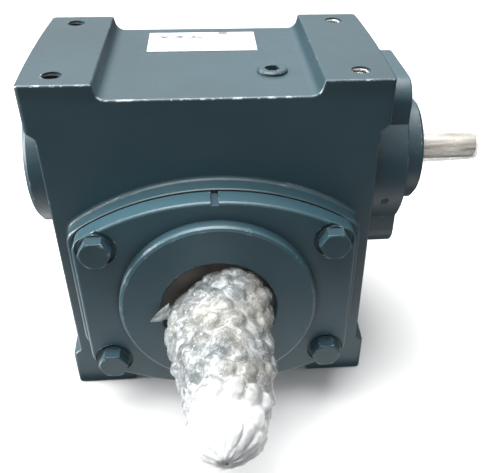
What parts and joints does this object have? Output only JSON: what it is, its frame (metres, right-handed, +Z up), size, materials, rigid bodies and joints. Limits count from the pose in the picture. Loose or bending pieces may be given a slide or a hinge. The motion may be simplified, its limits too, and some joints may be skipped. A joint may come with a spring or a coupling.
{
  "type": "right angle worm gearbox",
  "caption": "Footed right angle worm gear reducer with a bolted output cover, a side input shaft above the output shaft, and both shaft ends in clear packing.",
  "frame": {"origin": "centre of the four base mounting holes, on the plane of the base feet", "axes": "+X along the input shaft, out of the case; -Y along the output shaft, out of the case; +Z up"},
  "size_m": [0.2296, 0.2355, 0.1706],
  "materials": {
    "paint": "semi-gloss dark blue-green enamel over cast iron",
    "gasket": "dark gasket paper",
    "label": "white sticker",
    "seal_case": "brown coated steel",
    "seal_rubber": "brown nitrile",
    "steel": "plain steel",
    "shaft_steel": "ground steel",
    "bearing_steel": "polished bearing steel",
    "cage_steel": "pressed steel",
    "bronze": "cut bronze",
    "cast_iron": "bare cast iron",
    "bubble_wrap": "clear bubble wrap",
    "clear_film": "clear plastic film"
  },
  "bodies": {
    "gear_case": {"housing": "paint", "output_cover_front": "paint", "cover_gasket_front": "gasket", "cover_bolts_front": "paint", "output_cover_rear": "paint", "cover_gasket_rear": "gasket", "cover_bolts_rear": "paint", "fill_plug": "paint", "drain_plug": "paint", "nameplate": "label", "vent_screw": "paint", "worm_end_cap": "paint", "output_seal_case": "seal_case", "output_seal_lip": "seal_rubber", "output_seal_spring": "steel", "input_seal_case": "seal_case", "input_seal_lip": "seal_rubber", "input_seal_spring": "steel", "output_bearing_front_outer": "bearing_steel", "output_bearing_rear_outer": "bearing_steel", "input_bearing_outer": "bearing_steel", "worm_end_bearing_outer": "bearing_steel", "bearing_circlip": "steel"},
    "output_shaft_set": {"output_shaft": "shaft_steel", "wheel_key": "steel", "wheel_spacer": "steel", "wheel_centre": "cast_iron", "wheel_rim": "bronze", "wheel_rim_pins": "steel", "output_bearing_front_inner": "bearing_steel", "output_bearing_rear_inner": "bearing_steel"},
    "worm_shaft_set": {"worm_shaft": "shaft_steel", "worm_shaft_snap_ring": "steel", "input_bearing_inner": "bearing_steel", "worm_end_bearing_inner": "bearing_steel"},
    "output_rollers_front": {"output_bearing_front_rollers": "bearing_steel", "output_bearing_front_cage": "cage_steel"},
    "output_rollers_rear": {"output_bearing_rear_rollers": "bearing_steel", "output_bearing_rear_cage": "cage_steel"},
    "input_balls": {"input_bearing_balls": "bearing_steel", "input_bearing_cage": "cage_steel"},
    "worm_end_balls": {"worm_end_bearing_balls": "bearing_steel", "worm_end_bearing_cage": "cage_steel"},
    "output_packing": {"output_wrap": "bubble_wrap"},
    "input_packing": {"input_wrap": "clear_film"}
  },
  "joints": [
    {"name": "output_spin", "type": "hinge", "parent": "gear_case", "child": "output_shaft_set", "pos_m": [0, 0, 0.07065], "axis": [0, -1, 0], "continuous": true},
    {"name": "input_spin", "type": "hinge", "parent": "gear_case", "child": "worm_shaft_set", "pos_m": [0, 0, 0.1151], "axis": [1, 0, 0], "continuous": true},
    {"name": "output_rollers_front_spin", "type": "hinge", "parent": "gear_case", "child": "output_rollers_front", "pos_m": [0, 0, 0.07065], "axis": [0, -1, 0], "continuous": true},
    {"name": "output_rollers_rear_spin", "type": "hinge", "parent": "gear_case", "child": "output_rollers_rear", "pos_m": [0, 0, 0.07065], "axis": [0, -1, 0], "continuous": true},
    {"name": "input_balls_spin", "type": "hinge", "parent": "gear_case", "child": "input_balls", "pos_m": [0, 0, 0.1151], "axis": [1, 0, 0], "continuous": true},
    {"name": "worm_end_balls_spin", "type": "hinge", "parent": "gear_case", "child": "worm_end_balls", "pos_m": [0, 0, 0.1151], "axis": [1, 0, 0], "continuous": true},
    {"name": "output_wrap_slide", "type": "slide", "parent": "output_shaft_set", "child": "output_packing", "axis": [0, -1, 0], "range_m": [0, 0.1]},
    {"name": "input_wrap_slide", "type": "slide", "parent": "worm_shaft_set", "child": "input_packing", "axis": [1, 0, 0], "range_m": [0, 0.05]}
  ],
  "couplings": [
    {"joint": "input_spin", "follows": "output_spin", "ratio": 30},
    {"joint": "output_rollers_front_spin", "follows": "output_spin", "ratio": 0.4383},
    {"joint": "output_rollers_rear_spin", "follows": "output_spin", "ratio": 0.4383},
    {"joint": "input_balls_spin", "follows": "output_spin", "ratio": 11.448},
    {"joint": "worm_end_balls_spin", "follows": "output_spin", "ratio": 11.448}
  ]
}
